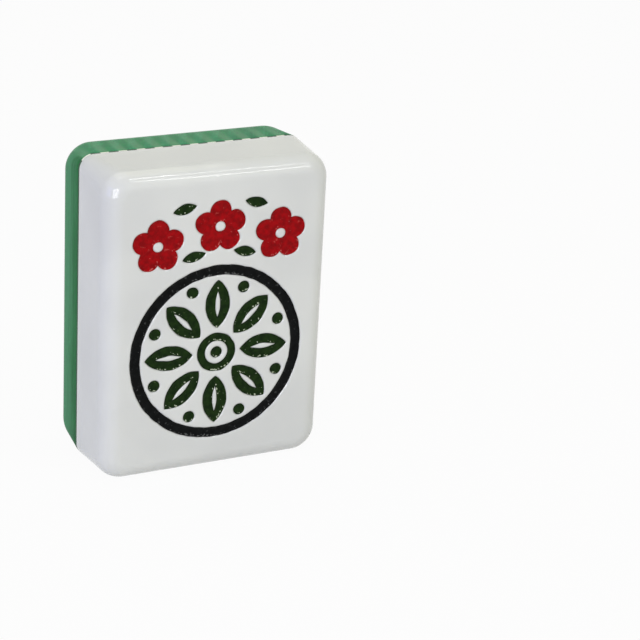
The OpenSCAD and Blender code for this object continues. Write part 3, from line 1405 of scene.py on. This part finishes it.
@dataclass
class Lamp:
    """A soft rectangular lamp that looks at a point."""

    name: str
    place: Place
    aim: Place
    width: float
    depth: float
    power_w: float
    colour: Rgb = EVEN

    def hang(self) -> None:
        """Makes the lamp."""
        light = bpy.data.lights.new(self.name, "AREA")
        light.shape = "RECTANGLE"
        light.size, light.size_y = self.width * MM, self.depth * MM
        light.energy = self.power_w
        light.color = self.colour
        lamp = add_object(self.name, light)
        lamp.location = Vector(self.place) * MM
        lamp.rotation_euler = sight(self.place, self.aim).to_euler()
        lamp.visible_camera = False


@dataclass
class TubeLoop:
    """A rectangle of thin light tubes, which draws a double line along polished edges."""

    name: str
    aim: Place
    toward: Place
    reach: float = 300.0
    half_w: float = 26.0
    half_d: float = 76.0
    tube_w: float = 28.0
    end_tube_w: float = 10.0
    radiance: float = 7.2

    def hang(self) -> None:
        """Hangs the four tubes square to the line of sight from the aim."""
        toward = Vector(self.toward).normalized()
        across = Vector((0, 0, 1)).cross(toward).normalized()
        up = toward.cross(across)
        centre = Vector(self.aim) + self.reach * toward
        long_side, short_side = 2 * self.half_d, 2 * self.half_w
        for name, offset, width, depth in (
                ("upper", self.half_d * up, short_side, self.tube_w),
                ("lower", -self.half_d * up, short_side, self.tube_w),
                ("left", -self.half_w * across, self.end_tube_w, long_side),
                ("right", self.half_w * across, self.end_tube_w, long_side)):
            power = self.radiance * math.pi * width * depth * MM**2
            Lamp(f"{self.name}_{name}_tube", tuple(centre + offset), self.aim, width, depth, power).hang()


@dataclass
class Studio:
    """The white table, the soft light and the camera."""

    eye: Place = (-76.842, -173.203, 89.25)
    aim: Place = (13.874, 0.0, 10.902)
    roll_deg: float = 3.18
    focal_px: float = 2149.5
    frame_px: float = 640.0
    sensor_mm: float = 36.0
    near: float = 5.0
    far: float = 10000.0
    floor_size: float = 3000.0
    floor_white: Rgb = (208, 208, 207)
    floor_glow: float = 0.95
    sky: float = 0.45

    def camera(self) -> None:
        """Sets the camera where the photograph was taken from."""
        data = bpy.data.cameras.new("camera")
        data.sensor_fit = "HORIZONTAL"
        data.sensor_width = self.sensor_mm
        data.lens = self.focal_px / self.frame_px * self.sensor_mm
        data.clip_start, data.clip_end = self.near * MM, self.far * MM
        camera = add_object("camera", data)
        turn = sight(self.eye, self.aim).to_matrix().to_4x4()
        roll = Matrix.Rotation(math.radians(self.roll_deg), 4, "Z")
        camera.matrix_world = Matrix.Translation(Vector(self.eye) * MM) @ turn @ roll
        bpy.context.scene.camera = camera

    def floor(self) -> None:
        """Lays a white table that keeps the shadow."""
        half = self.floor_size / 2 * MM
        corners = [(-half, -half, 0), (half, -half, 0), (half, half, 0), (-half, half, 0)]
        mesh = bpy.data.meshes.new("table")
        mesh.from_pydata(corners, [], [(0, 1, 2, 3)])
        table = add_object("table", mesh)
        recipe = Recipe.named("white_table")
        matt = recipe.node("ShaderNodeBsdfDiffuse", sockets={"Color": linear(self.floor_white)})
        glow = recipe.white_light("ShaderNodeEmission", 1.0)
        mesh.materials.append(recipe.finish(recipe.mix(recipe.seen() * self.floor_glow, matt, glow)))

    def world(self) -> None:
        """Fills the room with even light, and shows it white."""
        room = bpy.data.worlds.new("room")
        bpy.context.scene.world = room
        recipe = Recipe(room)
        light = recipe.white_light("ShaderNodeBackground", self.sky)
        shown = recipe.white_light("ShaderNodeBackground", 1.0)
        both = recipe.mix(recipe.seen(), light, shown)
        recipe.node("ShaderNodeOutputWorld", sockets={"Surface": both})

    def lamps(self) -> None:
        """Hangs the softboxes and the loop of tubes."""
        softboxes = (
            Lamp("key_softbox", place=(-215, -285, 105), aim=(0, -6, 15), width=170, depth=200,
                 power_w=0.66, colour=(0.9, 0.89, 0.97)),
            Lamp("fill_softbox", place=(120, -320, 160), aim=(0, -6, 15), width=200, depth=200,
                 power_w=0.08, colour=(1.0, 1.0, 0.8)),
            Lamp("cool_softbox", place=(-325, -90, 120), aim=(0, 0, 15), width=200, depth=200,
                 power_w=0.165, colour=(0.15, 0.2, 1.0)),
            Lamp("overhead_softbox", place=(0, 60, 320), aim=(0, 0, 0), width=260, depth=260,
                 power_w=0.23, colour=(1.0, 0.98, 0.72)),
        )
        for lamp in softboxes:
            lamp.hang()
        TubeLoop("front", aim=(0, -5.5, 29), toward=(0.40, -0.57, 0.70)).hang()

    def build(self) -> None:
        """Sets up the whole studio."""
        self.camera()
        self.floor()
        self.world()
        self.lamps()
        bpy.context.scene.view_settings.view_transform = "Standard"


def main() -> None:
    """Builds the studio and the tile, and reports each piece."""
    logging.basicConfig(level=logging.INFO, format="%(name)s: %(message)s")
    engraving = Engraving()
    Studio().build()
    for assembly in (FaceBlock(engraving), Laminate(), engraving):
        for piece in assembly.build():
            mesh = piece.data
            LOG.info("%s: %d vertices, %d faces", piece.name, len(mesh.vertices), len(mesh.polygons))


if __name__ == "__main__":
    main()
